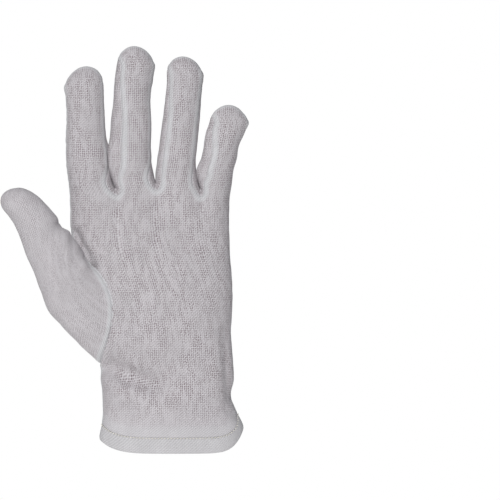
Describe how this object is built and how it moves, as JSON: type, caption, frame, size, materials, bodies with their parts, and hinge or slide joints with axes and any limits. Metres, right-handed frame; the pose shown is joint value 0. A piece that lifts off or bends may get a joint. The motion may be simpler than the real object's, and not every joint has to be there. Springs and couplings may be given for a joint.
{
  "type": "cotton glove",
  "caption": "Left-hand knitted cotton dress glove, filled out as worn, with fourchettes between the fingers, a set-in thumb and a hemmed cuff.",
  "frame": {"origin": "middle of the wrist opening, level with the rim's lowest point", "axes": "+Z towards the fingertips, +X towards the little finger, -Y the way the palm faces"},
  "size_m": [0.1496, 0.043, 0.2483],
  "materials": {
    "cotton_knit": "matte fine cotton knit",
    "cotton_hem": "matte double cotton knit"
  },
  "bodies": {
    "root": {"palm_panel": "cotton_knit", "back_panel": "cotton_knit", "fourchette_index_middle": "cotton_knit", "fourchette_middle_ring": "cotton_knit", "fourchette_ring_little": "cotton_knit", "thumb": "cotton_knit", "hem": "cotton_hem"}
  },
  "joints": []
}
